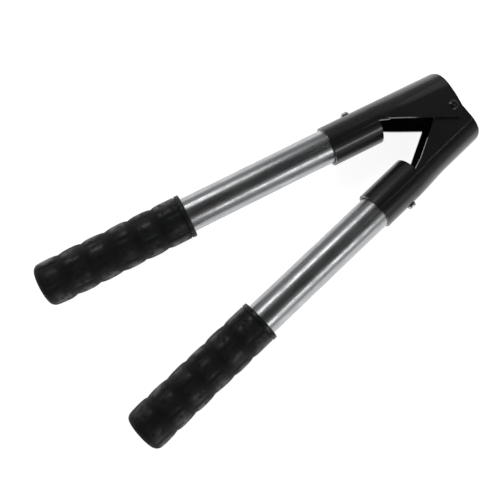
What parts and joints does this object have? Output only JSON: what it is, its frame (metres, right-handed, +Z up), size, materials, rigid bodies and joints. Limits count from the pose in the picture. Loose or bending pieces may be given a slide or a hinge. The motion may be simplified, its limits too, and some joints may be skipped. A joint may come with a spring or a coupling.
{
  "type": "strap seal crimper",
  "caption": "Two-handed hand tool that crimps metal seals on plastic strapping: two channel arms on one pivot, plated tube handles and rubber grips, crossing jaws between the cheeks.",
  "frame": {"origin": "under the middle of the tool, on the surface it lies on", "axes": "+X from the grips to the head, +Y towards the arm with the outer channel, +Z up along the pivot"},
  "size_m": [0.3172, 0.1502, 0.035],
  "materials": {
    "black_paint": "gloss black paint over stamped sheet steel",
    "plated_tube": "bright plated steel tube, fine lengthwise draw lines",
    "grip_rubber": "matte moulded black rubber",
    "zinc_fastener": "bright zinc plate",
    "black_rivet": "black paint worn bright on top",
    "jaw_steel": "blackened hardened steel, bright at the tips",
    "inner_steel": "plain oiled steel"
  },
  "bodies": {
    "inner_arm": {"inner_arm_shell": "black_paint", "inner_arm_tube": "plated_tube", "inner_arm_grip": "grip_rubber", "inner_sleeve_screw": "zinc_fastener", "inner_jaw_upper": "jaw_steel", "inner_jaw_lower": "jaw_steel", "inner_jaw_spacer": "inner_steel", "inner_jaw_rivet": "inner_steel", "pivot_upper_spacer": "inner_steel", "pivot_lower_spacer": "inner_steel"},
    "outer_arm": {"outer_arm_shell": "black_paint", "outer_arm_tube": "plated_tube", "outer_arm_grip": "grip_rubber", "outer_sleeve_screw": "zinc_fastener", "outer_jaw_upper": "jaw_steel", "outer_jaw_lower": "jaw_steel", "outer_jaw_spacer": "inner_steel", "outer_jaw_rivet": "inner_steel", "pivot_rivet": "black_rivet", "pivot_centre_spacer": "inner_steel"}
  },
  "joints": [
    {"name": "arm_pivot", "type": "hinge", "parent": "inner_arm", "child": "outer_arm", "pos_m": [0.14776, 0, 0.01675], "axis": [0, 0, 1], "range_deg": [-62, 15.8]}
  ]
}
